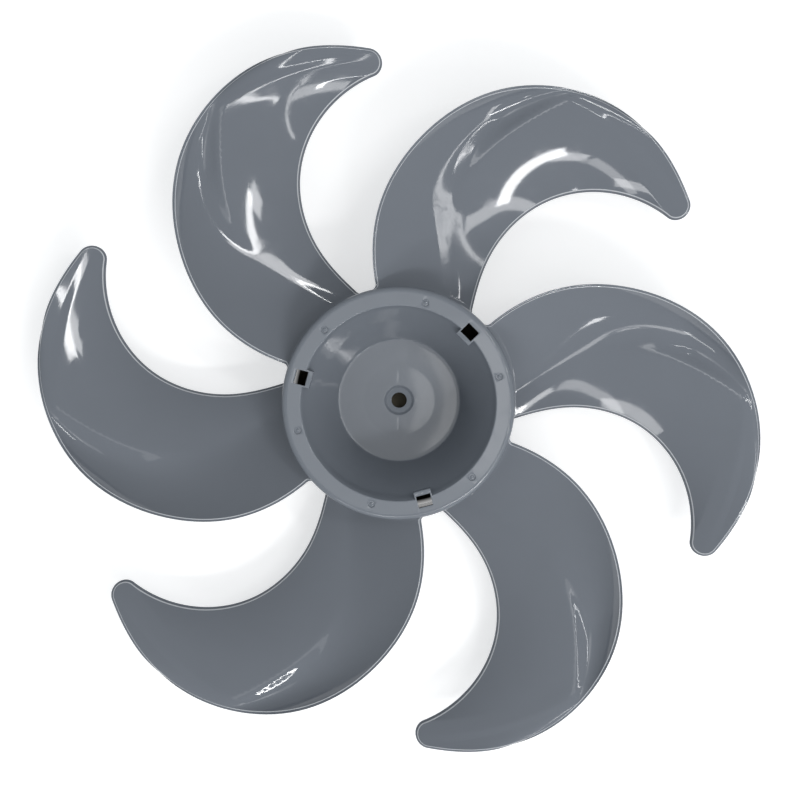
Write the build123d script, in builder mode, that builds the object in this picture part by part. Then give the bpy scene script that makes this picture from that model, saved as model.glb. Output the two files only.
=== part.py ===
"""Six-blade propeller of a pedestal fan, moulded in one piece.

The propeller lies on the back edge of its hub skirt, with the front of the hub facing up.
The origin is on the shaft axis, in the plane of the skirt's back edge. Lengths are in
millimetres and angles in degrees. A sweep is an angle clockwise from the root of a
blade's trailing edge, as seen from the front.
"""

import os
from math import atan2, cos, degrees, hypot, radians, sin, tan

from build123d import *

# Hub shell: skirt, rim and cup
hub_height = 54.0
skirt_radius = 58.6
skirt_draft = 1.2
skirt_wall = 2.2
rim_thickness = 2.8
rim_edge_round = 2.6
rim_edge_steps = 3
cup_mouth_radius = 49.0
cup_floor_radius = 32.3
cup_depth = 42.0
cup_wall = 2.2
floor_thickness = 3.0
floor_corner_bevel = 0.8

# Shaft boss behind the floor, with a slot for the shaft's cross pin
bore_radius = 4.0
boss_radius = 11.0
boss_back_level = 1.2
pin_slot_width = 3.4
pin_slot_depth = 3.6
pin_slot_angle = 45.0
washer_seat_radius = 7.9
washer_seat_depth = 0.8
washer_seat_bevel = 1.4

# Collar and short ribs round the boss
collar_radius = 19.5
collar_wall = 2.0
collar_back_level = 3.5
boss_rib_count = 4
boss_rib_thickness = 1.8

# Stiffening ribs between skirt and cup
rib_count = 6
rib_start_angle = 15.0
rib_thickness = 1.6
rib_back_level = 4.0

# Pockets in the rim for the clips of the hub cap
clip_count = 3
clip_start_angle = 45.0
clip_window_inset = 1.5
clip_window_length = 6.0
clip_window_width = 7.3
clip_tab_wall = 2.2
clip_side_wall = 0.7

# Ejector marks on the rim
mark_count = 6
mark_start_angle = 15.0
mark_inset = 3.2
mark_radius = 1.8
mark_depth = 0.5

# Blade outline: stations as shares of the reach beyond the skirt, with their sweeps
blade_count = 6
blade_start_angle = 160.8
blade_radius = 187.0
trailing_root_angle = 2.0
trailing_shares = (0.307, 0.556, 0.836, 1.0)
trailing_sweep_angles = (4.9, 14.3, 29.0, 48.8)
tip_round = 7.0
tip_share = 0.909
tip_sweep_angle = 65.7
tip_front_angle = 76.8
tip_back_angle = 228.8
leading_shares = (0.727, 0.540, 0.245)
leading_sweep_angles = (55.4, 47.2, 43.0)
leading_root_sweep_angle = 51.3
leading_root_angle = 28.5

# Blade sheet: height and pitch along a swept middle line, hollow towards the front
blade_thickness = 2.2
middle_angle_root = 23.3
middle_angle_rise = -5.0
middle_angle_curl = 35.0
middle_level_root = 36.3
middle_level_rise = 4.8
pitch_angle_root = 22.4
pitch_angle_rise = 12.3
pitch_angle_curl = -33.2
hollow_depth = 5.5
hollow_half_angle = 28.0
hollow_angle_root = 31.0
hollow_angle_rise = -20.0
hollow_angle_curl = 55.0
hollow_reach = 1.5
sheet_margin = 6.0
sheet_stations = 12

os.makedirs("parts", exist_ok=True)

# Levels, slopes and radii that follow from the sizes
floor_level = hub_height - cup_depth
floor_back_level = floor_level - floor_thickness
hollow_top_level = hub_height - rim_thickness
rim_edge_level = hub_height - rim_edge_round
skirt_slope = tan(radians(skirt_draft))
cup_slope = (cup_mouth_radius - cup_floor_radius) / cup_depth
cup_wall_across = cup_wall * hypot(1, cup_slope)
clip_window_radius = cup_mouth_radius - clip_window_inset
mark_circle_radius = cup_mouth_radius + mark_inset
clip_pocket_depth = (cup_mouth_radius + cup_wall_across - clip_window_radius) / cup_slope
blade_reach = blade_radius - skirt_radius
blade_root_radius = skirt_radius - skirt_wall / 2


def skirt_radius_at(level):
    """Outer radius of the skirt at a height."""
    return skirt_radius + (hub_height - level) * skirt_slope


def cup_radius_at(level):
    """Inner radius of the cup wall at a height."""
    return cup_mouth_radius - (hub_height - level) * cup_slope


def rim_edge_point(step):
    """Point of the rim's outer edge, which turns from the skirt to the front in equal steps."""
    turn = radians(90 * step / rim_edge_steps)
    return (
        skirt_radius - rim_edge_round + rim_edge_round * cos(turn),
        rim_edge_level + rim_edge_round * sin(turn),
    )


def plan_point(radius, sweep):
    """Point of the first blade's plan at a radius and a sweep."""
    angle = radians(blade_start_angle - sweep)
    return Vector(radius * cos(angle), radius * sin(angle))


def plan_stations(shares, sweeps):
    """Points of the first blade's plan at shares of its reach beyond the skirt."""
    return [plan_point(skirt_radius + share * blade_reach, sweep) for share, sweep in zip(shares, sweeps)]


def sheet_point(x, y):
    """Point on the front face of the first blade above a point of its plan."""
    radius = hypot(x, y)
    sweep = blade_start_angle - degrees(atan2(y, x))
    share = (radius - skirt_radius) / blade_reach
    middle_sweep = middle_angle_root + middle_angle_rise * share + middle_angle_curl * share**2
    middle_level = middle_level_root + middle_level_rise * share
    pitch = pitch_angle_root + pitch_angle_rise * share + pitch_angle_curl * share**2
    across = radius * radians(sweep - middle_sweep)
    hollow_sweep = hollow_angle_root + hollow_angle_rise * share + hollow_angle_curl * share**2
    hollow_share = min(abs(sweep - hollow_sweep) / hollow_half_angle, hollow_reach)
    hollow = hollow_depth * (1 - hollow_share**2)
    return Vector(x, y, middle_level - across * tan(radians(pitch)) - hollow)


def spread(low, high, count):
    """Evenly spaced values from low to high."""
    return [low + (high - low) * i / (count - 1) for i in range(count)]


# Plan of the first blade, with its root end inside the skirt
trailing_root = plan_point(blade_root_radius, 0)
leading_root = plan_point(blade_root_radius, leading_root_sweep_angle)
root_middle = plan_point(blade_root_radius, leading_root_sweep_angle / 2)
tip_centre = plan_point(skirt_radius + tip_share * blade_reach, tip_sweep_angle)
tip_front = tip_centre + plan_point(tip_round, tip_front_angle)
tip_middle = tip_centre + plan_point(tip_round, (tip_front_angle + tip_back_angle) / 2)
tip_back = tip_centre + plan_point(tip_round, tip_back_angle)

with BuildSketch() as blade_plan:
    with BuildLine():
        Spline(
            [trailing_root, *plan_stations(trailing_shares, trailing_sweep_angles), tip_front],
            tangents=[plan_point(1, -trailing_root_angle), plan_point(1, tip_front_angle + 90)],
            tangent_scalars=(1, 1),
        )
        ThreePointArc(tip_front, tip_middle, tip_back)
        Spline(
            [tip_back, *plan_stations(leading_shares, leading_sweep_angles), leading_root],
            tangents=[
                plan_point(1, tip_back_angle + 90),
                plan_point(-1, leading_root_sweep_angle - leading_root_angle),
            ],
            tangent_scalars=(1, 1),
        )
        ThreePointArc(leading_root, root_middle, trailing_root)
    make_face()

# Front face of the first blade, wider than the plan on all sides
plan_box = blade_plan.sketch.bounding_box()
sheet_xs = spread(plan_box.min.X - sheet_margin, plan_box.max.X + sheet_margin, sheet_stations)
sheet_ys = spread(plan_box.min.Y - sheet_margin, plan_box.max.Y + sheet_margin, sheet_stations)
sheet_grid = [[sheet_point(x, y) for x in sheet_xs] for y in sheet_ys]
blade_sheet = Face.make_surface_from_array_of_points(sheet_grid)

# The first blade: its plan raised as a prism and cut to the sheet's thickness
with BuildPart() as blade:
    extrude(blade_plan.sketch, amount=hub_height)
    thicken(blade_sheet, amount=-blade_thickness, mode=Mode.INTERSECT)

with BuildPart() as fan_blade:
    # Skirt and rim as a solid drum
    with BuildSketch(Plane.XZ):
        with BuildLine():
            Polyline(
                (0, 0),
                (skirt_radius_at(0), 0),
                (skirt_radius_at(rim_edge_level), rim_edge_level),
                *[rim_edge_point(step + 1) for step in range(rim_edge_steps)],
                (0, hub_height),
                close=True,
            )
        make_face()
    revolve(axis=Axis.Z)

    # Blades
    with PolarLocations(0, blade_count):
        add(blade.part)

    # Hollow behind the rim, open to the back
    with BuildSketch(Plane.XZ):
        with BuildLine():
            Polyline(
                (0, 0),
                (skirt_radius_at(0) - skirt_wall, 0),
                (skirt_radius_at(hollow_top_level) - skirt_wall, hollow_top_level),
                (cup_radius_at(hollow_top_level) + cup_wall_across, hollow_top_level),
                (cup_radius_at(floor_back_level) + cup_wall_across, floor_back_level),
                (0, floor_back_level),
                close=True,
            )
        make_face()
    revolve(axis=Axis.Z, mode=Mode.SUBTRACT)

    # Stiffening ribs from the cup wall to the skirt
    rib_length = skirt_radius_at(rib_back_level) - skirt_wall / 2 - cup_floor_radius
    with BuildSketch(Plane.XY.offset(rib_back_level)):
        with PolarLocations(cup_floor_radius, rib_count, start_angle=rib_start_angle):
            Rectangle(rib_length, rib_thickness, align=(Align.MIN, Align.CENTER))
    extrude(amount=hollow_top_level - rib_back_level)

    # Boss, collar and the short ribs between them
    with BuildSketch(Plane.XY.offset(boss_back_level)):
        Circle(boss_radius)
    extrude(amount=floor_back_level - boss_back_level)
    with BuildSketch(Plane.XY.offset(collar_back_level)):
        Circle(collar_radius)
        Circle(collar_radius - collar_wall, mode=Mode.SUBTRACT)
        with PolarLocations(bore_radius, boss_rib_count):
            Rectangle(
                collar_radius - collar_wall / 2 - bore_radius,
                boss_rib_thickness,
                align=(Align.MIN, Align.CENTER),
            )
    extrude(amount=floor_back_level - collar_back_level)

    # Cup in the front
    with BuildSketch(Plane.XZ):
        with BuildLine():
            Polyline(
                (0, floor_level),
                (cup_floor_radius, floor_level),
                (cup_mouth_radius, hub_height),
                (0, hub_height),
                close=True,
            )
        make_face()
    revolve(axis=Axis.Z, mode=Mode.SUBTRACT)

    # Pockets for the cap's clips: a block on the cup wall, opened by a window
    with BuildSketch(Plane.XY.offset(hub_height)):
        with PolarLocations(clip_window_radius - clip_tab_wall, clip_count, start_angle=clip_start_angle):
            Rectangle(
                clip_window_length + clip_tab_wall,
                clip_window_width + 2 * clip_side_wall,
                align=(Align.MIN, Align.CENTER),
            )
    extrude(amount=-clip_pocket_depth)
    with BuildSketch(Plane.XY.offset(hub_height)):
        with PolarLocations(clip_window_radius, clip_count, start_angle=clip_start_angle):
            Rectangle(clip_window_length, clip_window_width, align=(Align.MIN, Align.CENTER))
    extrude(amount=-clip_pocket_depth, mode=Mode.SUBTRACT)

    # Ejector marks in the rim
    with BuildSketch(Plane.XY.offset(hub_height)):
        with PolarLocations(mark_circle_radius, mark_count, start_angle=mark_start_angle):
            Circle(mark_radius)
    extrude(amount=-mark_depth, mode=Mode.SUBTRACT)

    # Washer seat, shaft bore and the slot for the cross pin
    with BuildSketch(Plane.XZ):
        with BuildLine():
            Polyline(
                (0, floor_level - washer_seat_depth),
                (washer_seat_radius - washer_seat_bevel, floor_level - washer_seat_depth),
                (washer_seat_radius, floor_level),
                (0, floor_level),
                close=True,
            )
        make_face()
    revolve(axis=Axis.Z, mode=Mode.SUBTRACT)
    with Locations((0, 0, floor_level)):
        Hole(bore_radius)
    with BuildSketch(Plane.XY.offset(boss_back_level)):
        Rectangle(2 * boss_radius, pin_slot_width, rotation=pin_slot_angle)
    extrude(amount=pin_slot_depth, mode=Mode.SUBTRACT)

    # Bevel round the cup's floor
    floor_corner = fan_blade.edges().filter_by(GeomType.CIRCLE).filter_by_position(
        Axis.Z, floor_level - 0.01, floor_level + 0.01
    ).sort_by(SortBy.RADIUS)[-1]
    chamfer(floor_corner, length=floor_corner_bevel)

fan_blade.part.label = "fan_blade"
export_step(fan_blade.part, "parts/fan_blade.step")
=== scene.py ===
"""Looks of a pedestal fan propeller, a glossy grey moulding lying face up on a pale floor.

Sizes of the moulding are in millimetres and angles in degrees, as in the part's source, and
every mesh is scaled to metres when it is finished. A sweep is an angle clockwise from the
root of a blade's trailing edge, as seen from the front.
"""

import logging
import math
from dataclasses import dataclass
from enum import Enum
from typing import Callable, Iterable, Sequence

import bmesh
import bpy
import numpy as np
from mathutils import Matrix, Vector


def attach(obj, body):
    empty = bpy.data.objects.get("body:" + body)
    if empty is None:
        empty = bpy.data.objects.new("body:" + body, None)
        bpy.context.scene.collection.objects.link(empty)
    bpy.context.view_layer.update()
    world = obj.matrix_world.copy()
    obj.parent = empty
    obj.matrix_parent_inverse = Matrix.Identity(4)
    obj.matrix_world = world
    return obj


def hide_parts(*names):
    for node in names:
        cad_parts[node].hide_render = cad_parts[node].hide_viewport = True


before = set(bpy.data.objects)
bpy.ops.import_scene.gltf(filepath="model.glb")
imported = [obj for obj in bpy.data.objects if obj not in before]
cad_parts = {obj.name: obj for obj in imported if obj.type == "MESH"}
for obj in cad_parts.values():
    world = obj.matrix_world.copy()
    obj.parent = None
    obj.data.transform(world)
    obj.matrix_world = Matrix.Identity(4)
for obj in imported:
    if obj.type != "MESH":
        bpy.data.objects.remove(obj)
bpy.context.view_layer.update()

LOG = logging.getLogger("propeller")
MM = 0.001
NODE = "fan_blade"
BODY = "root"
GREY = (0.172, 0.189, 0.216)
# The hub's grey is the blades' grey made about a tenth lighter, painted light for its open, upward-facing
# rim.
HUB_GREY_PAINTED_LIGHTER = (0.189, 0.208, 0.236)
# Colour of the painted highlight line along the blades' edges.
EDGE_HIGHLIGHT_GREY = (0.62, 0.64, 0.67)
EDGE_SAMPLES = 600
EDGE_HIGHLIGHT = "edge_highlight"

Point = tuple[float, float]
Border = tuple[tuple[float, float, int], ...]
Curve = Callable[[np.ndarray], np.ndarray]
Socket = bpy.types.NodeSocket | float


class Side(Enum):
    """The two faces of a blade."""

    FRONT = "front"
    BACK = "back"


class Joining(Enum):
    """What a tool shape does to a piece."""

    ADD = "UNION"
    CUT = "DIFFERENCE"


def mould_texture() -> bpy.types.NodeTree:
    """Builds the texture that a polished mould and handling leave on a plastic face.

    Returns:
        A node group with a tone factor, a roughness and a height in metres.
    """
    group = bpy.data.node_groups.new("mould_texture", "ShaderNodeTree")
    face = group.interface
    settings = {"Wave Height": 0.00001, "Wave Scale": 40.0, "Least Roughness": 0.1, "Roughness Spread": 0.1}
    for name, value in settings.items():
        face.new_socket(name, in_out="INPUT", socket_type="NodeSocketFloat").default_value = value
    for name in ("Tone", "Roughness", "Height"):
        face.new_socket(name, in_out="OUTPUT", socket_type="NodeSocketFloat")
    nodes, links = group.nodes, group.links
    given, made = nodes.new("NodeGroupInput"), nodes.new("NodeGroupOutput")
    place = nodes.new("ShaderNodeTexCoord").outputs["Object"]

    def noise(scale: float, detail: float) -> bpy.types.Node:
        """Adds a noise texture on the piece's own coordinates."""
        node = nodes.new("ShaderNodeTexNoise")
        node.inputs["Scale"].default_value = scale
        node.inputs["Detail"].default_value = detail
        links.new(place, node.inputs["Vector"])
        return node

    def sum_of(first: Socket, factor: Socket, second: Socket) -> bpy.types.NodeSocket:
        """Adds first times factor to second."""
        node = nodes.new("ShaderNodeMath")
        node.operation = "MULTIPLY_ADD"
        for socket, value in zip(node.inputs, (first, factor, second)):
            if isinstance(value, bpy.types.NodeSocket):
                links.new(value, socket)
            else:
                socket.default_value = value
        return node.outputs[0]

    waves = noise(40.0, 1.5)
    links.new(given.outputs["Wave Scale"], waves.inputs["Scale"])
    grain = noise(2600.0, 2.0)
    clouds = noise(24.0, 4.0)
    clouds.inputs["Distortion"].default_value = 1.2
    smears = noise(130.0, 6.0)
    smears.inputs["Distortion"].default_value = 0.6
    links.new(sum_of(clouds.outputs["Fac"], 0.7, sum_of(grain.outputs["Fac"], 0.3, 0.0)), made.inputs["Tone"])
    patchy = nodes.new("ShaderNodeMapRange")
    patchy.interpolation_type = "SMOOTHSTEP"
    patchy.inputs["From Min"].default_value = 0.52
    patchy.inputs["From Max"].default_value = 0.72
    links.new(smears.outputs["Fac"], patchy.inputs["Value"])
    spread = given.outputs["Roughness Spread"]
    rough = sum_of(patchy.outputs["Result"], spread, given.outputs["Least Roughness"])
    links.new(rough, made.inputs["Roughness"])
    fine = sum_of(grain.outputs["Fac"], 0.00000005, 0.0)
    links.new(sum_of(waves.outputs["Fac"], given.outputs["Wave Height"], fine), made.inputs["Height"])
    return group


def rib_sinks(reach: float, inside: float, width: float, level: float) -> bpy.types.NodeTree:
    """Builds the faint crossed sink marks over the short ribs behind the cup's floor.

    Args:
        reach: Distance of their outer ends from the shaft axis, in metres.
        inside: Distance of their inner ends.
        width: Width of a mark.
        level: Height of the cup's floor.

    Returns:
        A node group with a height in metres.
    """
    group = bpy.data.node_groups.new("rib_sinks", "ShaderNodeTree")
    group.interface.new_socket("Depth", in_out="INPUT", socket_type="NodeSocketFloat").default_value = 0.00002
    group.interface.new_socket("Height", in_out="OUTPUT", socket_type="NodeSocketFloat")
    nodes, links = group.nodes, group.links
    given, made = nodes.new("NodeGroupInput"), nodes.new("NodeGroupOutput")
    apart = nodes.new("ShaderNodeSeparateXYZ")
    links.new(nodes.new("ShaderNodeTexCoord").outputs["Object"], apart.inputs[0])

    def math_of(operation: str, first: Socket, second: Socket) -> bpy.types.NodeSocket:
        """Adds a math node on sockets or numbers."""
        node = nodes.new("ShaderNodeMath")
        node.operation = operation
        for socket, value in zip(node.inputs, (first, second)):
            if isinstance(value, bpy.types.NodeSocket):
                links.new(value, socket)
            else:
                socket.default_value = value
        return node.outputs[0]

    def fade(value: bpy.types.NodeSocket, full: float, gone: float) -> bpy.types.NodeSocket:
        """Adds a mask that is 1 up to one value and 0 from another."""
        node = nodes.new("ShaderNodeMapRange")
        node.interpolation_type = "SMOOTHSTEP"
        node.inputs["From Min"].default_value = full
        node.inputs["From Max"].default_value = gone
        node.inputs["To Min"].default_value = 1.0
        node.inputs["To Max"].default_value = 0.0
        links.new(value, node.inputs["Value"])
        return node.outputs[0]

    x = math_of("ABSOLUTE", apart.outputs["X"], 0.0)
    y = math_of("ABSOLUTE", apart.outputs["Y"], 0.0)
    near, far = math_of("MINIMUM", x, y), math_of("MAXIMUM", x, y)
    mark = math_of("MULTIPLY", fade(near, 0.0, width), fade(far, reach - width, reach + width))
    mark = math_of("MULTIPLY", mark, math_of("SUBTRACT", 1.0, fade(far, inside, inside + width)))
    beside = math_of("ABSOLUTE", math_of("SUBTRACT", apart.outputs["Z"], level), 0.0)
    mark = math_of("MULTIPLY", mark, fade(beside, 0.0004, 0.0006))
    deep = math_of("MULTIPLY", mark, given.outputs["Depth"])
    links.new(math_of("MULTIPLY", deep, -1.0), made.inputs["Height"])
    return group


@dataclass(frozen=True)
class MouldedPlastic:
    """A glossy moulded plastic.

    Args:
        name: Name of the material.
        colour: Linear base colour.
        tone_spread: How far the colour strays from the base colour, as a share of it.
        least_roughness: Roughness where the face is cleanest.
        roughness_spread: How much rougher the handled patches are.
        wave_height: Height in metres of the soft waves that shrinkage leaves.
        wave_scale: How many waves there are in a metre.
        highlight_colour: Linear colour of the painted highlight line along the blades' edges.
    """

    name: str
    colour: tuple[float, float, float]
    tone_spread: float
    least_roughness: float
    roughness_spread: float
    wave_height: float
    wave_scale: float
    highlight_colour: tuple[float, float, float] | None = None

    def build(
        self, texture: bpy.types.NodeTree, marks: bpy.types.NodeTree | None = None
    ) -> bpy.types.Material:
        """Makes the material with its nodes.

        Args:
            texture: The mould texture.
            marks: Group with the height of further marks, where the face has them.

        Returns:
            The material.
        """
        material = bpy.data.materials.new(self.name)
        material.use_nodes = True
        nodes = material.node_tree.nodes
        links = material.node_tree.links
        shader = nodes["Principled BSDF"]
        shader.inputs["IOR"].default_value = 1.5
        surface = nodes.new("ShaderNodeGroup")
        surface.node_tree = texture
        surface.inputs["Wave Height"].default_value = self.wave_height
        surface.inputs["Wave Scale"].default_value = self.wave_scale
        surface.inputs["Least Roughness"].default_value = self.least_roughness
        surface.inputs["Roughness Spread"].default_value = self.roughness_spread
        tone = nodes.new("ShaderNodeMix")
        tone.data_type = "RGBA"
        low, high = 1 - self.tone_spread, 1 + self.tone_spread
        tone.inputs["A"].default_value = (*[value * low for value in self.colour], 1.0)
        tone.inputs["B"].default_value = (*[value * high for value in self.colour], 1.0)
        links.new(surface.outputs["Tone"], tone.inputs["Factor"])
        colour = tone.outputs["Result"]
        # Painted highlight: a lighter line is mixed into the colour along the blades' edges.
        if self.highlight_colour:
            line = nodes.new("ShaderNodeAttribute")
            line.attribute_name = EDGE_HIGHLIGHT
            lined = nodes.new("ShaderNodeMix")
            lined.data_type = "RGBA"
            links.new(line.outputs["Fac"], lined.inputs["Factor"])
            links.new(colour, lined.inputs["A"])
            lined.inputs["B"].default_value = (*self.highlight_colour, 1.0)
            colour = lined.outputs["Result"]
        links.new(colour, shader.inputs["Base Color"])
        links.new(surface.outputs["Roughness"], shader.inputs["Roughness"])
        bump = nodes.new("ShaderNodeBump")
        bump.inputs["Strength"].default_value = 1.0
        bump.inputs["Distance"].default_value = 1.0
        height = surface.outputs["Height"]
        if marks:
            marked = nodes.new("ShaderNodeGroup")
            marked.node_tree = marks
            total = nodes.new("ShaderNodeMath")
            links.new(height, total.inputs[0])
            links.new(marked.outputs["Height"], total.inputs[1])
            height = total.outputs[0]
        links.new(height, bump.inputs["Height"])
        links.new(bump.outputs["Normal"], shader.inputs["Normal"])
        return material


def to_piece(bm: bmesh.types.BMesh, name: str, material: bpy.types.Material) -> bpy.types.Object:
    """Turns a finished mesh in millimetres into a shaded object in metres.

    Args:
        bm: The mesh, which is freed.
        name: Name of the piece.
        material: Its finish.

    Returns:
        The object, linked to the scene.
    """
    bmesh.ops.scale(bm, vec=Vector((MM, MM, MM)), verts=bm.verts)
    bmesh.ops.recalc_face_normals(bm, faces=bm.faces)
    for face in bm.faces:
        face.smooth = True
    mesh = bpy.data.meshes.new(name)
    bm.to_mesh(mesh)
    bm.free()
    mesh.set_sharp_from_angle(angle=math.radians(32))
    mesh.materials.append(material)
    piece = bpy.data.objects.new(name, mesh)
    bpy.context.scene.collection.objects.link(piece)
    LOG.info("%s: %d faces", name, len(mesh.polygons))
    return piece


def arc(centre: Point, radius: float, start: float, end: float, steps: int) -> list[Point]:
    """Points of an arc in a profile.

    Args:
        centre: Centre of the arc, as distance from the axis and height.
        radius: Radius of the arc.
        start: Angle of its first point, from the outward direction towards the front.
        end: Angle of its last point.
        steps: Number of runs between its points.

    Returns:
        The points, as distance from the axis and height.
    """
    points = []
    for i in range(steps + 1):
        turn = math.radians(start + (end - start) * i / steps)
        points.append((centre[0] + radius * math.cos(turn), centre[1] + radius * math.sin(turn)))
    return points


def plate_at(bm: bmesh.types.BMesh, outline: Sequence[Point], thickness: float, turn: float) -> None:
    """Adds an upright plate in a plane through the shaft axis.

    Args:
        bm: Mesh that gets the plate.
        outline: Its corners, as distance from the axis and height.
        thickness: Its thickness.
        turn: Angle of its plane about the shaft axis.
    """
    verts = [bm.verts.new((r, -thickness / 2, z)) for r, z in outline]
    face = bm.faces.new(verts)
    grown = bmesh.ops.extrude_face_region(bm, geom=[face])["geom"]
    moved = [item for item in grown if isinstance(item, bmesh.types.BMVert)]
    bmesh.ops.translate(bm, vec=(0, thickness, 0), verts=moved)
    about = Matrix.Rotation(math.radians(turn), 3, "Z")
    bmesh.ops.rotate(bm, cent=(0, 0, 0), matrix=about, verts=verts + moved)


def spun_at(bm: bmesh.types.BMesh, outline: Sequence[Point], place: Sequence[float], steps: int) -> None:
    """Adds a closed turned shape whose outline starts and ends on its own upright axis.

    Args:
        bm: Mesh that gets the shape.
        outline: Its points, as distance from its axis and height.
        place: Foot of its axis.
        steps: Number of steps round the axis.
    """
    verts = [bm.verts.new((place[0] + r, place[1], place[2] + z)) for r, z in outline]
    edges = [bm.edges.new(pair) for pair in zip(verts, verts[1:])]
    bmesh.ops.spin(
        bm,
        geom=verts + edges,
        cent=place,
        axis=(0, 0, 1),
        angle=math.tau,
        steps=steps,
        use_merge=True,
    )
    near = [v for v in bm.verts if math.dist(v.co[:2], place[:2]) < max(r for r, _ in outline) + 0.01]
    bmesh.ops.remove_doubles(bm, verts=near, dist=1e-4)


def carve(piece: bpy.types.Object, tool: bpy.types.Object, joining: Joining) -> None:
    """Joins a tool shape to a piece or cuts it out, and removes the tool.

    Args:
        piece: The piece that changes.
        tool: The closed shape that is joined or cut out.
        joining: Whether it is joined or cut out.
    """
    change = piece.modifiers.new("carve", "BOOLEAN")
    change.operation = joining.value
    change.solver = "EXACT"
    change.object = tool
    settle(piece)
    bpy.data.objects.remove(tool)


def settle(piece: bpy.types.Object) -> None:
    """Applies a piece's modifiers to its mesh."""
    bpy.context.view_layer.update()
    graph = bpy.context.evaluated_depsgraph_get()
    mesh = bpy.data.meshes.new_from_object(piece.evaluated_get(graph))
    piece.modifiers.clear()
    piece.data = mesh


def box_at(bm: bmesh.types.BMesh, low: Sequence[float], high: Sequence[float], turn: float) -> None:
    """Adds a box, given by its corners and then turned about the shaft axis.

    Args:
        bm: Mesh that gets the box.
        low: Lowest corner before the turn.
        high: Highest corner before the turn.
        turn: Angle about the shaft axis.
    """
    centre = Vector([(a + b) / 2 for a, b in zip(low, high)])
    sizes = Vector([b - a for a, b in zip(low, high)])
    about = Matrix.Rotation(math.radians(turn), 4, "Z")
    place = about @ Matrix.Translation(centre) @ Matrix.Diagonal((*sizes, 1))
    bmesh.ops.create_cube(bm, size=1, matrix=place)


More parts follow.
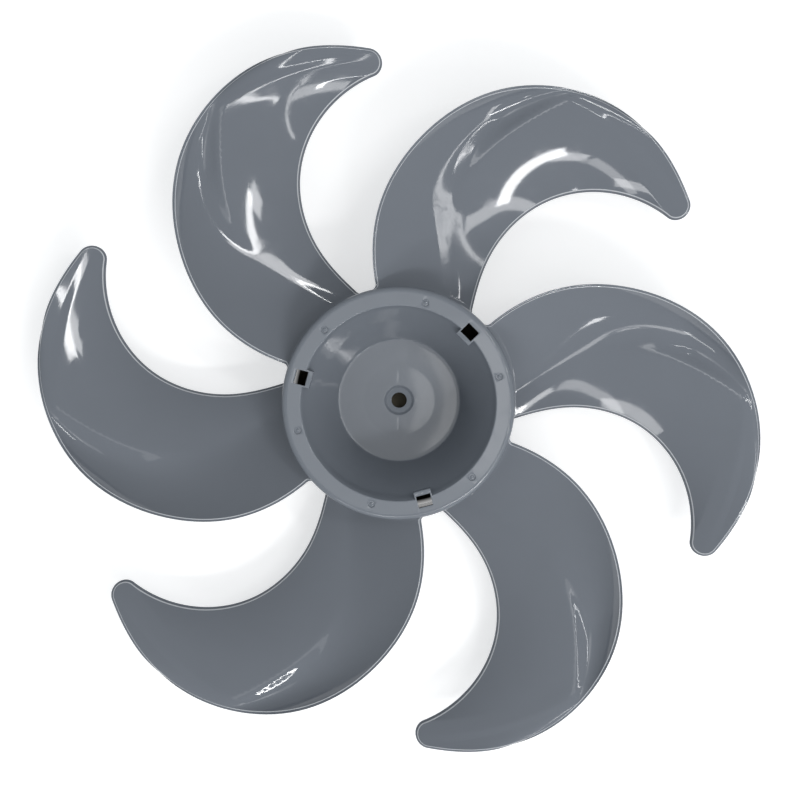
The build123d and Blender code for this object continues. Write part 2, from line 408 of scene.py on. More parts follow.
@dataclass
class Hub:
    """Hub shell with its rim, cup, boss and the ribs behind it."""

    height: float = 54.0
    skirt_radius: float = 58.6
    skirt_draft: float = 1.2
    skirt_wall: float = 2.2
    rim_thickness: float = 2.8
    rim_edge_round: float = 2.6
    mouth_radius: float = 49.0
    mouth_round: float = 0.7
    floor_radius: float = 32.3
    cup_depth: float = 42.0
    cup_wall: float = 2.2
    floor_thickness: float = 3.0
    floor_corner_round: float = 0.8
    bore_radius: float = 4.0
    bore_round: float = 0.3
    boss_radius: float = 11.0
    boss_back_level: float = 1.2
    pin_slot_width: float = 3.4
    pin_slot_depth: float = 3.6
    pin_slot_angle: float = 45.0
    washer_seat_radius: float = 7.9
    washer_seat_depth: float = 0.8
    washer_seat_bevel: float = 1.4
    collar_radius: float = 19.5
    collar_wall: float = 2.0
    collar_back_level: float = 3.5
    boss_rib_thickness: float = 1.8
    rib_thickness: float = 1.6
    rib_start_angle: float = 15.0
    rib_back_level: float = 4.0
    clip_start_angle: float = 45.0
    clip_window_radius: float = 47.5
    clip_window_length: float = 6.0
    clip_window_width: float = 7.3
    clip_tab_wall: float = 2.2
    clip_side_wall: float = 0.7
    mark_start_angle: float = 15.0
    mark_circle_radius: float = 52.2
    mark_radius: float = 1.8
    mark_nub_radius: float = 0.9
    mark_depth: float = 0.5
    sink_depth: float = 0.05
    edge_width: float = 0.22
    sharp_angle: float = 21.0
    turns: int = 240

    @property
    def floor_level(self) -> float:
        """Height of the cup's floor."""
        return self.height - self.cup_depth

    @property
    def cup_slope(self) -> float:
        """How much wider the cup gets with each millimetre of height."""
        return (self.mouth_radius - self.floor_radius) / self.cup_depth

    @property
    def clip_pocket_depth(self) -> float:
        """Depth of the pockets behind the clip windows."""
        across = self.cup_wall * math.hypot(1, self.cup_slope)
        return (self.mouth_radius + across - self.clip_window_radius) / self.cup_slope

    @property
    def clip_turns(self) -> list[float]:
        """Angles of the clip windows."""
        return [self.clip_start_angle + 120 * i for i in range(3)]

    def skirt_radius_at(self, level: float) -> float:
        """Outer radius of the skirt at a height."""
        return self.skirt_radius + (self.height - level) * math.tan(math.radians(self.skirt_draft))

    def cup_radius_at(self, level: float) -> float:
        """Inner radius of the cup wall at a height."""
        return self.mouth_radius - (self.height - level) * self.cup_slope

    def profile(self) -> list[Point]:
        """Closed outline of the hub's cut face, from the back of the skirt round to it again.

        Returns:
            Points as distance from the axis and height.
        """
        floor = self.floor_level
        back = floor - self.floor_thickness
        hollow = self.height - self.rim_thickness
        across = self.cup_wall * math.hypot(1, self.cup_slope)
        rim = self.rim_edge_round
        lean = math.degrees(math.atan(self.cup_slope))
        mouth = self.mouth_round
        corner = self.floor_corner_round
        mouth_reach = mouth * math.tan(math.radians((90 - lean) / 2))
        corner_reach = corner * math.tan(math.radians((90 - lean) / 2))
        seat = floor - self.washer_seat_depth
        points = [(self.skirt_radius_at(0) - self.skirt_wall, 0.0)]
        points += arc((self.skirt_radius_at(0) - 0.5, 0.5), 0.5, -90, 0, 3)
        points += [(self.skirt_radius_at(z), z) for z in (2, 8, 16, 24, 32, 40, 48)]
        points += arc((self.skirt_radius - rim, self.height - rim), rim, 0, 90, 12)
        points += [(self.skirt_radius - rim - 0.2, self.height)]
        points += [(self.mouth_radius + mouth_reach + 0.2, self.height)]
        points += arc((self.mouth_radius + mouth_reach, self.height - mouth), mouth, 90, 180 - lean, 6)
        points += [(self.cup_radius_at(z), z) for z in (50, 44, 36, 28, 20, 14)]
        centre = (self.floor_radius - corner_reach, floor + corner)
        points += arc(centre, corner, -lean, -90, 6)
        sunk = self.collar_radius - self.collar_wall / 2
        half = self.collar_wall * 1.1
        points += [(30.0, floor), (sunk + half, floor), (sunk + half / 2, floor - self.sink_depth * 0.6)]
        points += [(sunk, floor - self.sink_depth), (sunk - half / 2, floor - self.sink_depth * 0.6)]
        points += [(sunk - half, floor), (self.washer_seat_radius + 0.4, floor)]
        points += arc((self.washer_seat_radius, floor - 0.3), 0.3, 90, 150, 3)
        points += arc((self.washer_seat_radius - self.washer_seat_bevel, seat + 0.3), 0.3, -30, -90, 3)
        centre = (self.bore_radius + self.bore_round, seat - self.bore_round)
        points += arc(centre, self.bore_round, 90, 180, 4)
        points += [(self.bore_radius, self.boss_back_level), (self.boss_radius, self.boss_back_level)]
        points += [(self.boss_radius, back), (self.collar_radius - self.collar_wall, back)]
        points += [(self.collar_radius - self.collar_wall, self.collar_back_level)]
        points += [(self.collar_radius, self.collar_back_level), (self.collar_radius, back)]
        points += [(self.cup_radius_at(back) + across, back), (self.cup_radius_at(hollow) + across, hollow)]
        points += [(self.skirt_radius_at(hollow) - self.skirt_wall, hollow)]
        return points

    def shell(self) -> bmesh.types.BMesh:
        """Spins the profile round the shaft axis."""
        bm = bmesh.new()
        verts = [bm.verts.new((r, 0, z)) for r, z in self.profile()]
        edges = [bm.edges.new((a, b)) for a, b in zip(verts, verts[1:] + verts[:1])]
        bmesh.ops.spin(
            bm,
            geom=verts + edges,
            cent=(0, 0, 0),
            axis=(0, 0, 1),
            angle=2 * math.pi,
            steps=self.turns,
            use_merge=True,
        )
        bmesh.ops.remove_doubles(bm, verts=bm.verts, dist=1e-4)
        return bm

    def clip_blocks(self) -> bmesh.types.BMesh:
        """Blocks on the cup wall that hold the cap's clips."""
        bm = bmesh.new()
        wide = self.clip_window_width / 2 + self.clip_side_wall
        low = (self.clip_window_radius - self.clip_tab_wall, -wide, self.height - self.clip_pocket_depth)
        high = (self.clip_window_radius + 2.6, wide, self.height)
        for turn in self.clip_turns:
            box_at(bm, low, high, turn)
        return bm

    def cuts(self) -> bmesh.types.BMesh:
        """Everything that is cut out of the hub: clip windows, ejector marks and the pin slot."""
        bm = bmesh.new()
        wide = self.clip_window_width / 2
        low = (self.clip_window_radius, -wide, self.height - self.clip_pocket_depth)
        high = (self.clip_window_radius + self.clip_window_length, wide, self.height + 1)
        for turn in self.clip_turns:
            box_at(bm, low, high, turn)
        slot = self.pin_slot_width / 2
        reach = self.boss_radius + 1
        end = self.boss_back_level + self.pin_slot_depth
        box_at(bm, (-reach, -slot, 0), (reach, slot, end), self.pin_slot_angle)
        depth = self.mark_depth
        nub = self.mark_nub_radius
        wide = self.mark_radius
        mark = [(0, -0.15), (nub * 0.45, -0.18), (nub * 0.8, -0.28), (nub, -depth)]
        mark += [(wide - 0.25, -depth), (wide - 0.05, -depth * 0.7), (wide, -0.12)]
        mark += [(wide + 0.16, 0.04), (wide + 0.16, 0.6), (0, 0.6)]
        for i in range(6):
            turn = math.radians(self.mark_start_angle + 60 * i)
            away = self.mark_circle_radius
            spun_at(bm, mark, (away * math.cos(turn), away * math.sin(turn), self.height), 32)
        return bm

    def ribs(self) -> bmesh.types.BMesh:
        """Ribs behind the rim and between boss and collar."""
        bm = bmesh.new()
        back = self.floor_level - 1.5
        top = self.height - self.rim_thickness / 2
        seam = self.cup_wall / 2
        low = self.rib_back_level
        rib = [(self.floor_radius, low), (self.skirt_radius_at(0) - seam, low)]
        rib += [(self.skirt_radius_at(top) - seam, top), (self.cup_radius_at(top) + seam, top)]
        rib += [(self.cup_radius_at(back) + seam, back), (self.floor_radius, back)]
        for i in range(6):
            plate_at(bm, rib, self.rib_thickness, self.rib_start_angle + 60 * i)
        near, far = self.boss_radius - 1, self.collar_radius - self.collar_wall / 2
        low = self.collar_back_level
        short_rib = [(near, low), (far, low), (far, back), (near, back)]
        for i in range(4):
            plate_at(bm, short_rib, self.boss_rib_thickness, 90 * i)
        return bm

    def build(self, material: bpy.types.Material) -> bpy.types.Object:
        """Makes the hub.

        Args:
            material: Finish of the hub.

        Returns:
            The hub as one object.
        """
        hub = to_piece(self.shell(), "hub", material)
        carve(hub, to_piece(self.clip_blocks(), "clip_blocks", material), Joining.ADD)
        carve(hub, to_piece(self.ribs(), "ribs", material), Joining.ADD)
        carve(hub, to_piece(self.cuts(), "cuts", material), Joining.CUT)
        edges = hub.modifiers.new("edges", "BEVEL")
        edges.width = self.edge_width * MM
        edges.segments = 3
        edges.limit_method = "ANGLE"
        edges.angle_limit = math.radians(40)
        settle(hub)
        for face in hub.data.polygons:
            face.use_smooth = True
        hub.data.set_sharp_from_angle(angle=math.radians(self.sharp_angle))
        LOG.info("hub: %d faces", len(hub.data.polygons))
        return hub


def polynomial(values: Sequence[float], share: np.ndarray) -> np.ndarray:
    """Value of a polynomial of a share, from its value at 0, its slope there and so on."""
    return sum(value * share**power for power, value in enumerate(values))


def patch(
    start: np.ndarray,
    end: np.ndarray,
    near: np.ndarray,
    far: np.ndarray,
    along: np.ndarray,
    across: np.ndarray,
) -> np.ndarray:
    """Points stretched evenly between the four sides of a sheet.

    Args:
        start: Points of the first long side beside each point.
        end: Points of the second long side beside each point.
        near: Points of the first short side beside each point.
        far: Points of the second short side beside each point.
        along: Shares of the way from the near side to the far one.
        across: Shares of the way from the first long side to the second.

    Returns:
        The points, one a row.
    """
    u, v = along[:, None], across[:, None]
    near_start, near_end = near[across.argmin()], near[across.argmax()]
    far_start, far_end = far[across.argmin()], far[across.argmax()]
    corners = (1 - u) * ((1 - v) * near_start + v * near_end) + u * ((1 - v) * far_start + v * far_end)
    return (1 - v) * start + v * end + (1 - u) * near + u * far - corners


def clamped_spline(points: np.ndarray, first: np.ndarray, last: np.ndarray) -> Curve:
    """Smooth curve through points in a plane, with given directions at its ends.

    Args:
        points: Points that the curve passes, one a row.
        first: Unit direction at the first point.
        last: Unit direction at the last point.

    Returns:
        Function that gives the curve's points at shares 0 to 1 of its knots' length.
    """
    steps = np.linalg.norm(np.diff(points, axis=0), axis=1)
    knots = np.concatenate([[0], np.cumsum(steps)])
    count = len(points)
    matrix = np.zeros((count, count))
    right = np.zeros((count, 2))
    matrix[0, 0] = matrix[-1, -1] = 1
    right[0], right[-1] = first, last
    for i in range(1, count - 1):
        before, after = steps[i - 1], steps[i]
        matrix[i, i - 1 : i + 2] = after, 2 * (before + after), before
        rise = after * (points[i] - points[i - 1]) / before + before * (points[i + 1] - points[i]) / after
        right[i] = 3 * rise
    slopes = np.linalg.solve(matrix, right)

    def curve(shares: np.ndarray) -> np.ndarray:
        """Points of the curve at shares of its length."""
        at = np.clip(np.asarray(shares, float), 0, 1) * knots[-1]
        i = np.clip(np.searchsorted(knots, at, "right") - 1, 0, count - 2)
        h = steps[i]
        t = (at - knots[i]) / h
        t, h = t[:, None], h[:, None]
        start = (1 + 2 * t) * (1 - t) ** 2 * points[i] + t * (1 - t) ** 2 * h * slopes[i]
        end = t**2 * (3 - 2 * t) * points[i + 1] + t**2 * (t - 1) * h * slopes[i + 1]
        return start + end

    return curve


@dataclass
class Blade:
    """One twisted, hollow blade, as a sheet that flares into the skirt.

    Each border is a list of distances inside the outline. Each distance comes with how far the
    face is lowered there and with 1 where the painted highlight line is drawn along the edge.
    """

    hub: Hub
    start_angle: float = 160.8
    radius: float = 186.98
    trailing_root_lean: float = 2.0
    trailing_shares: tuple[float, ...] = (0.307, 0.556, 0.836, 1.0)
    trailing_sweeps: tuple[float, ...] = (4.9, 14.3, 29.0, 48.8)
    tip_round: float = 7.0
    tip_share: float = 0.909
    tip_sweep: float = 65.7
    tip_front_sweep: float = 76.8
    tip_back_sweep: float = 228.8
    leading_shares: tuple[float, ...] = (0.727, 0.540, 0.245)
    leading_sweeps: tuple[float, ...] = (55.4, 47.2, 43.0)
    leading_root_sweep: float = 51.3
    leading_root_lean: float = 28.5
    thickness: float = 2.2
    middle_sweep: tuple[float, ...] = (23.3, -5.0, 35.0)
    middle_level: tuple[float, ...] = (36.87, 4.11)
    pitch: tuple[float, ...] = (24.61, 9.96, -31.03)
    hollow_depth: tuple[float, ...] = (4.17, -7.63, 12.43)
    hollow_half_sweep: float = 28.0
    hollow_sweep: tuple[float, ...] = (31.0, -20.0, 55.0)
    hollow_reach: float = 1.5
    crease_sweep: tuple[float, ...] = (37.85, -66.91, 120.41, -49.45)
    crease_rise: tuple[float, ...] = (-3.47, 2.1, 3.03)
    crease_softness: float = 6.4
    crease_margin: float = 13.0
    leading_bulge: tuple[float, ...] = (0.46, 2.83)
    trailing_bulge: tuple[float, ...] = (1.74, -10.87)
    panel_least: float = 6.0
    panel_full: float = 30.0
    # The third number of each row is 1 where the painted highlight line is drawn.
    front_border: Border = (
        (1.5, 0.0, 0),
        (1.38, 0.02, 1),
        (1.26, 0.1, 1),
        (1.04, 0.62, 1),
        (0.96, 0.76, 0),
        (0.84, 0.84, 0),
        (0.5, 0.96, 0),
        (0.2, 1.08, 0),
        (0.06, 1.16, 0),
        (0.0, 1.3, 0),
    )
    back_border: Border = (
        (0.62, 0.0, 0),
        (0.56, 0.01, 0),
        (0.5, 0.04, 0),
        (0.42, 0.1, 0),
        (0.34, 0.17, 0),
        (0.26, 0.24, 0),
        (0.18, 0.31, 0),
        (0.11, 0.37, 0),
        (0.04, 0.43, 0),
        (0.0, 0.52, 0),
    )
    root_round: float = 2.6
    root_depth: float = 1.0
    rows: int = 92
    columns: int = 60

    @property
    def reach(self) -> float:
        """Reach of the blade beyond the skirt."""
        return self.radius - self.hub.skirt_radius

    @property
    def root(self) -> float:
        """Radius at which the sheet starts, a little inside the skirt."""
        return self.hub.skirt_radius - self.root_depth

    @property
    def tip_centre(self) -> np.ndarray:
        """Centre of the round tip in plan."""
        return self.plan(self.hub.skirt_radius + self.tip_share * self.reach, self.tip_sweep)

    def plan(self, radius: float, sweep: float) -> np.ndarray:
        """Point of the plan at a radius and a sweep."""
        angle = math.radians(self.start_angle - sweep)
        return radius * np.array([math.cos(angle), math.sin(angle)])

    def stations(self, shares: Iterable[float], sweeps: Iterable[float]) -> list[np.ndarray]:
        """Points of the plan at shares of the reach beyond the skirt."""
        radii = [self.hub.skirt_radius + share * self.reach for share in shares]
        return [self.plan(radius, sweep) for radius, sweep in zip(radii, sweeps)]

    def trailing_edge(self) -> Curve:
        """Trailing edge in plan, from the root to the tip."""
        first = self.plan(self.root, 0)
        last = self.tip_centre + self.plan(self.tip_round, self.tip_front_sweep)
        points = [first, *self.stations(self.trailing_shares, self.trailing_sweeps), last]
        return clamped_spline(
            np.array(points),
            self.plan(1, -self.trailing_root_lean),
            self.plan(1, self.tip_front_sweep + 90),
        )

    def leading_edge(self) -> Curve:
        """Leading edge in plan, from the tip to the root."""
        first = self.tip_centre + self.plan(self.tip_round, self.tip_back_sweep)
        last = self.plan(self.root, self.leading_root_sweep)
        points = [first, *self.stations(self.leading_shares, self.leading_sweeps), last]
        return clamped_spline(
            np.array(points),
            self.plan(1, self.tip_back_sweep + 90),
            self.plan(-1, self.leading_root_sweep - self.leading_root_lean),
        )

    def polar(self, plan: np.ndarray) -> tuple[np.ndarray, np.ndarray, np.ndarray]:
        """Radius, sweep and share of the reach at points of the plan, one a row."""
        radius = np.hypot(plan[:, 0], plan[:, 1])
        sweep = self.start_angle - np.degrees(np.arctan2(plan[:, 1], plan[:, 0]))
        return radius, sweep, (radius - self.hub.skirt_radius) / self.reach

    def edge_sweeps(self, radius: np.ndarray) -> tuple[np.ndarray, np.ndarray]:
        """Sweeps of the trailing and the leading edge at given radii."""
        shares = np.linspace(0, 1, EDGE_SAMPLES)
        sweeps = []
        for edge in (self.trailing_edge()(shares), self.leading_edge()(shares)[::-1]):
            reach, turn, _ = self.polar(edge)
            sweeps.append(np.interp(radius, np.maximum.accumulate(reach), turn))
        return sweeps[0], sweeps[1]

    def level(self, plan: np.ndarray) -> np.ndarray:
        """Height of the front face above points of the plan.

        The face is a twisted sheet with a hollow, and a soft crease parts it into two panels
        that bulge a little.

        Args:
            plan: Points, one a row.

        Returns:
            Their heights.
        """
        radius, sweep, share = self.polar(plan)
        across = radius * np.radians(sweep - polynomial(self.middle_sweep, share))
        slope = np.tan(np.radians(polynomial(self.pitch, share)))
        sheet = polynomial(self.middle_level, share) - across * slope
        hollow_share = np.abs(sweep - polynomial(self.hollow_sweep, share)) / self.hollow_half_sweep
        hollow = polynomial(self.hollow_depth, share) * (1 - np.minimum(hollow_share, self.hollow_reach) ** 2)
        trailing, leading = self.edge_sweeps(radius)
        crease = np.clip(polynomial(self.crease_sweep, share), trailing + 2, leading - 2)
        beside = radius * np.radians(sweep - crease)
        trailing_width = np.maximum(radius * np.radians(crease - trailing), self.panel_least)
        leading_width = np.maximum(radius * np.radians(leading - crease), self.panel_least)
        soft = self.crease_softness
        away = np.sqrt(beside**2 + soft**2) - soft
        is_leading = 1 / (1 + np.exp(-2 * beside / soft))
        trailing_fade = np.clip(trailing_width / self.panel_full, 0, 1) ** 2
        leading_fade = np.clip(leading_width / self.panel_full, 0, 1) ** 2
        ridge = is_leading * (1 - away / leading_width) + (1 - is_leading) * (1 - away / trailing_width)
        ridge *= is_leading * leading_fade + (1 - is_leading) * trailing_fade
        ridge *= np.clip(np.minimum(leading_width, trailing_width) / self.crease_margin, 0, 1) ** 2
        leading_share = np.clip(beside / leading_width, 0, 1.3)
        trailing_share = np.clip(-beside / trailing_width, 0, 1.3)
        leading_bow = 4 * leading_fade * leading_share * (1 - leading_share)
        trailing_bow = 4 * trailing_fade * trailing_share * (1 - trailing_share)
        bulge = polynomial(self.leading_bulge, share) * leading_bow
        bulge += polynomial(self.trailing_bulge, share) * trailing_bow
        return sheet - hollow + polynomial(self.crease_rise, share) * ridge + bulge

    def tip_edge(self, shares: np.ndarray) -> np.ndarray:
        """Points of the round tip in plan, from the trailing edge to the leading edge."""
        turns = self.tip_front_sweep + np.asarray(shares) * (self.tip_back_sweep - self.tip_front_sweep)
        return self.tip_centre + np.array([self.plan(self.tip_round, turn) for turn in turns])

    def inset(self, edge: Curve, shares: np.ndarray, distance: float) -> np.ndarray:
        """Points at a distance inside the outline, beside shares of one of its three edges."""
        ahead = edge(np.minimum(shares + 1e-4, 1)) - edge(np.maximum(shares - 1e-4, 0))
        ahead /= np.linalg.norm(ahead, axis=1)[:, None]
        return edge(shares) + distance * ahead[:, ::-1] * np.array([1, -1])

    def rim(self, along: np.ndarray, across: np.ndarray, distance: float) -> np.ndarray:
        """Points at a distance inside the outline, for places on the rim of the face's grid."""
        points = np.zeros((len(along), 2))
        at_tip = along > 1 - 1e-6
        trailing, leading = ~at_tip & (across < 0.5), ~at_tip & (across > 0.5)
        points[trailing] = self.inset(self.trailing_edge(), along[trailing], distance)
        points[leading] = self.inset(self.leading_edge(), 1 - along[leading], distance)
        points[at_tip] = self.inset(self.tip_edge, across[at_tip], distance)
        return points

    def flare(self, radius: np.ndarray) -> np.ndarray:
        """How far the fillet at the skirt stands out from the blade at given radii."""
        run = np.clip((radius - self.hub.skirt_radius) / self.root_round, 0, 1)
        return self.root_round * (1 - np.sqrt(1 - (1 - run) ** 2))

    def shape(
        self,
        verts: Sequence[bmesh.types.BMVert],
        plan: np.ndarray,
        across: np.ndarray,
        side: Side,
        drop: float,
    ) -> None:
        """Moves points of a face to their places, with the fillet at the skirt.

        Args:
            verts: The points.
            plan: Their places in plan, one a row.
            across: Their shares of the way from the trailing edge to the leading edge.
            side: The face that they belong to.
            drop: How far they lie inside that face.
        """
        radius, sweep, _ = self.polar(plan)
        flare = self.flare(radius)
        spread = np.degrees(flare / radius) * (2 * across - 1)
        level = self.level(plan)
        if side is Side.FRONT:
            level += flare - drop
        else:
            level -= self.thickness + flare - drop
        for vert, reach, turn, height in zip(verts, radius, sweep + spread, level):
            vert.co = Vector((*self.plan(reach, turn), height))

    def face(self, side: Side) -> bmesh.types.BMesh:
        """Makes one face of the blade, as a grid with a border of narrow strips round it.

        Args:
            side: Which of the two faces.

        Returns:
            The face, with its normals outwards.
        """
        bm = bmesh.new()
        bmesh.ops.create_grid(bm, x_segments=self.rows, y_segments=self.columns, size=0.5)
        layers = bm.verts.layers.float
        for name in ("along", "across", EDGE_HIGHLIGHT):
            layers.new(name)
        keep_along, keep_across, line = layers["along"], layers["across"], layers[EDGE_HIGHLIGHT]
        for vert in bm.verts:
            along, across = ((1 - math.cos(math.pi * (value + 0.5))) / 2 for value in vert.co[:2])
            vert[keep_along], vert[keep_across] = along, across
        border = self.front_border if side is Side.FRONT else self.back_border
        verts = list(bm.verts)
        along, across = np.array([(vert[keep_along], vert[keep_across]) for vert in verts]).T
        start = self.inset(self.trailing_edge(), along, border[0][0])
        end = self.inset(self.leading_edge(), 1 - along, border[0][0])
        root_side = np.array([self.plan(self.root, share * self.leading_root_sweep) for share in across])
        tip_side = self.inset(self.tip_edge, across, border[0][0])
        self.shape(verts, patch(start, end, root_side, tip_side, along, across), across, side, border[0][1])
        rims = [edge for edge in bm.edges if edge.is_boundary]
        outer = [edge for edge in rims if max(vert[keep_along] for vert in edge.verts) > 0]
        for distance, drop, lined in border[1:]:
            grown = bmesh.ops.extrude_edge_only(bm, edges=outer)["geom"]
            verts = [item for item in grown if isinstance(item, bmesh.types.BMVert)]
            fresh = set(verts)
            edges = [item for item in grown if isinstance(item, bmesh.types.BMEdge)]
            outer = [edge for edge in edges if fresh.issuperset(edge.verts)]
            along, across = np.array([(vert[keep_along], vert[keep_across]) for vert in verts]).T
            self.shape(verts, self.rim(along, across, distance), across, side, drop)
            # Stores where the painted highlight line is drawn.
            for vert in verts:
                vert[line] = lined
        for name in ("along", "across"):
            layers.remove(layers[name])
        bmesh.ops.recalc_face_normals(bm, faces=bm.faces)
        if (sum(face.normal.z for face in bm.faces) > 0) is not (side is Side.FRONT):
            bmesh.ops.reverse_faces(bm, faces=bm.faces)
        return bm

    def build(self, count: int, material: bpy.types.Material) -> bpy.types.Object:
        """Makes all the blades.

        Args:
            count: Number of blades round the hub.
            material: Finish of the blades.

        Returns:
            The blades as one object.
        """
        bm = self.face(Side.FRONT)
        back = bpy.data.meshes.new("back")
        self.face(Side.BACK).to_mesh(back)
        bm.from_mesh(back)
        bpy.data.meshes.remove(back)
        rims = [edge for edge in bm.edges if edge.is_boundary]
        bmesh.ops.bridge_loops(bm, edges=rims)
        first = list(bm.verts) + list(bm.edges) + list(bm.faces)
        for turn in range(1, count):
            copied = bmesh.ops.duplicate(bm, geom=first)["geom"]
            moved = [item for item in copied if isinstance(item, bmesh.types.BMVert)]
            about = Matrix.Rotation(math.tau * turn / count, 3, "Z")
            bmesh.ops.rotate(bm, cent=(0, 0, 0), matrix=about, verts=moved)
        return to_piece(bm, "blades", material)


@dataclass(frozen=True)
class Softbox:
    """A lamp with an even rectangular face, turned to the hub.

    Args:
        name: Its name.
        bearing: Direction in which it hangs, from the right of the photograph anticlockwise.
        lean: Angle between the upright through the hub and the line to the lamp.
        heading: Direction in which its length runs, seen from above as the bearing is.
        size: Length and width in metres.
        glow: Brightness of its face, where 1 is white.
        colour: Colour of its light.
        distance: Distance from the hub, in metres.
    """

    name: str
    bearing: float
    lean: float
    heading: float
    size: tuple[float, float]
    glow: float
    colour: tuple[float, float, float] = (1.0, 1.0, 1.0)
    distance: float = 2.43

    def build(self) -> None:
        """Hangs the lamp."""
        data = bpy.data.lights.new(self.name, "AREA")
        data.shape = "RECTANGLE"
        data.size, data.size_y = self.size
        data.energy = self.glow * math.pi * self.size[0] * self.size[1]
        data.color = self.colour
        lamp = bpy.data.objects.new(self.name, data)
        lean = Matrix.Rotation(math.radians(self.lean), 4, "Y")
        turn = Matrix.Rotation(math.radians(self.bearing), 4, "Z") @ lean
        roll = Matrix.Rotation(math.radians(self.heading - self.bearing), 4, "Z")
        lamp.matrix_world = turn @ Matrix.Translation((0, 0, self.distance)) @ roll
        bpy.context.scene.collection.objects.link(lamp)


SOFTBOXES = (
    Softbox("window", 23, 28, 47, (0.09, 0.7), 20.0),
    Softbox("tall_window", -46, 51, -76, (1.71, 0.2), 6.6),
    Softbox("side_window", -54, 40, 8, (0.86, 0.18), 22.0),
    Softbox("lamp_row", -92, 49, 45, (1.07, 0.18), 4.6),
    Softbox("lamp_row_end", -107, 53, 168, (1.04, 0.23), 6.1),
    Softbox("door_gap", -22, 40, 7, (0.89, 0.05), 8.0),
    Softbox("ceiling_line", -17, 21, -31, (0.81, 0.05), 16.0),
    Softbox("small_lamp", -73, 57, 85, (0.11, 0.09), 14.0),
    Softbox("window_pane", 33, 29, -17, (0.19, 0.19), 9.0),
    Softbox("side_panel", -71, 39, 30, (0.36, 0.17), 9.0),
    Softbox("upper_pane", 11, 34, 63, (0.21, 0.19), 10.0),
    Softbox("ceiling", -101, 2.4, 0, (0.52, 0.52), 0.9),
    Softbox("ceiling_panel", -38, 3.9, 0, (0.2, 0.3), 1.9, distance=2.4),
)


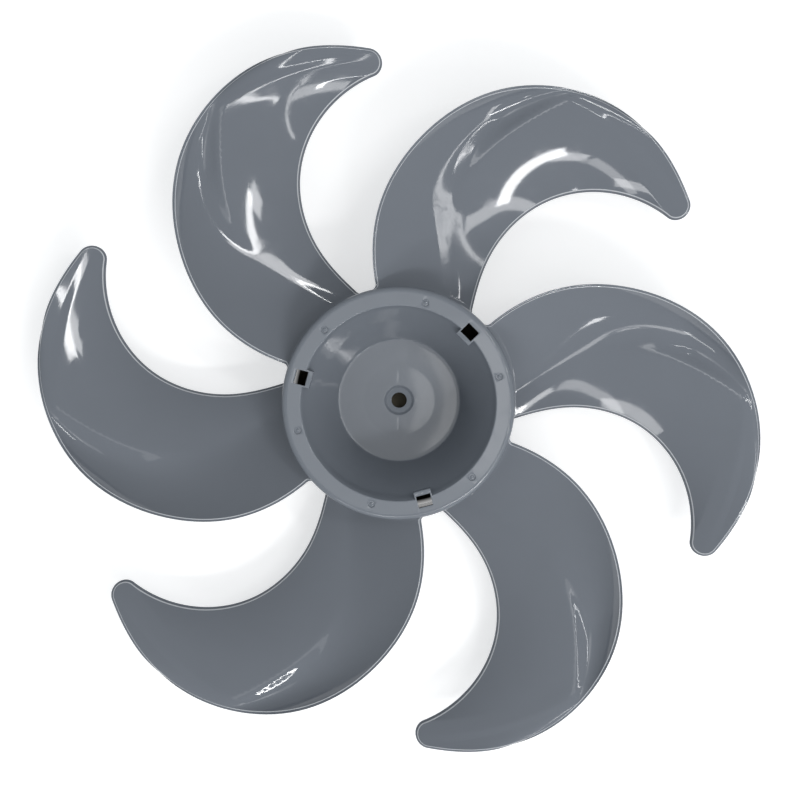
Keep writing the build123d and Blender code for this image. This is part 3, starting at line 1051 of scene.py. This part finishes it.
@dataclass
class Studio:
    """Floor, lamps, surroundings and camera."""

    focal_length: float = 67.5
    eye: tuple[float, float, float] = (6.9, 32.5, 804.0)
    gaze: tuple[float, float, float] = (-0.0081, -0.0409, -1.0)
    floor_tone: float = 0.8
    floor_lift: float = 0.52
    shaded_tone: tuple[float, float, float] = (0.16, 0.14, 0.1)
    hub_shade: float = 0.058
    hub_shade_fade: float = 0.95
    sky_colour: tuple[float, float, float] = (0.93, 0.97, 1.0)
    sky_strength: float = 0.46

    def build(self) -> None:
        """Sets up everything round the object."""
        self.floor()
        self.surroundings()
        for softbox in SOFTBOXES:
            softbox.build()
        self.camera()

    def floor(self) -> None:
        """Makes the pale floor: white where it is seen or mirrored, with painted dark brown shade under the
        hub, seen through its bore and windows.
        """
        bm = bmesh.new()
        bmesh.ops.create_grid(bm, x_segments=1, y_segments=1, size=2.5)
        mesh = bpy.data.meshes.new("floor")
        bm.to_mesh(mesh)
        bm.free()
        floor = bpy.data.objects.new("floor", mesh)
        bpy.context.scene.collection.objects.link(floor)
        material = bpy.data.materials.new("floor")
        material.use_nodes = True
        nodes, links = material.node_tree.nodes, material.node_tree.links
        shader = nodes["Principled BSDF"]
        shader.inputs["Roughness"].default_value = 0.9
        shader.inputs["Emission Color"].default_value = (1, 1, 1, 1)
        path = nodes.new("ShaderNodeLightPath")
        seen = nodes.new("ShaderNodeMath")
        seen.operation = "MAXIMUM"
        links.new(path.outputs["Is Camera Ray"], seen.inputs[0])
        links.new(path.outputs["Is Glossy Ray"], seen.inputs[1])
        lift = nodes.new("ShaderNodeMath")
        lift.operation = "MULTIPLY"
        lift.inputs[1].default_value = self.floor_lift
        links.new(seen.outputs[0], lift.inputs[0])
        spot = nodes.new("ShaderNodeTexCoord")
        away = nodes.new("ShaderNodeVectorMath")
        away.operation = "LENGTH"
        links.new(spot.outputs["Object"], away.inputs[0])
        under = nodes.new("ShaderNodeMapRange")
        under.inputs["From Min"].default_value = self.hub_shade * self.hub_shade_fade
        under.inputs["From Max"].default_value = self.hub_shade
        links.new(away.outputs["Value"], under.inputs["Value"])
        beside = nodes.new("ShaderNodeMath")
        beside.operation = "MULTIPLY"
        links.new(lift.outputs[0], beside.inputs[0])
        links.new(under.outputs["Result"], beside.inputs[1])
        links.new(beside.outputs[0], shader.inputs["Emission Strength"])
        # Painted shade: under the hub the floor's colour turns dark brown.
        tone = nodes.new("ShaderNodeMix")
        tone.data_type = "RGBA"
        links.new(under.outputs["Result"], tone.inputs["Factor"])
        tone.inputs["A"].default_value = (*self.shaded_tone, 1)
        tone.inputs["B"].default_value = (*[self.floor_tone] * 3, 1)
        links.new(tone.outputs["Result"], shader.inputs["Base Color"])
        mesh.materials.append(material)

    def surroundings(self) -> None:
        """Sets the even light from all round."""
        world = bpy.data.worlds.new("studio")
        bpy.context.scene.world = world
        world.use_nodes = True
        background = world.node_tree.nodes["Background"]
        background.inputs["Color"].default_value = (*self.sky_colour, 1)
        background.inputs["Strength"].default_value = self.sky_strength

    def camera(self) -> None:
        """Sets the camera at the photograph's viewing point."""
        data = bpy.data.cameras.new("camera")
        data.sensor_width = 36
        data.lens = self.focal_length
        data.clip_start = 0.01
        camera = bpy.data.objects.new("camera", data)
        camera.location = Vector(self.eye) * MM
        ahead = Vector(self.gaze).normalized()
        right = (Vector((1, 0, 0)) - ahead * ahead.x).normalized()
        up = right.cross(ahead)
        aim = Matrix((right, up, -ahead)).transposed().to_4x4()
        camera.matrix_world = Matrix.Translation(camera.location) @ aim
        bpy.context.scene.collection.objects.link(camera)
        bpy.context.scene.camera = camera


def main() -> None:
    """Builds the propeller and its studio."""
    logging.basicConfig(level=logging.INFO, format="%(name)s: %(message)s")
    texture = mould_texture()
    hub = Hub()
    sinks = rib_sinks(0.0155, 0.0085, 0.0014, hub.floor_level * MM)
    hub_plastic = MouldedPlastic("hub_plastic", HUB_GREY_PAINTED_LIGHTER, 0.05, 0.06, 0.07, 0.00002, 60.0)
    blade_plastic = MouldedPlastic("blade_plastic", GREY, 0.05, 0.055, 0.06, 0.00002, 40.0, EDGE_HIGHLIGHT_GREY)
    pieces = [
        hub.build(hub_plastic.build(texture, sinks)),
        Blade(hub).build(6, blade_plastic.build(texture)),
    ]
    for piece in pieces:
        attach(piece, BODY)
        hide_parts(NODE)
    Studio().build()
    scene = bpy.context.scene
    scene.view_settings.view_transform = "Standard"


if __name__ == "__main__":
    main()
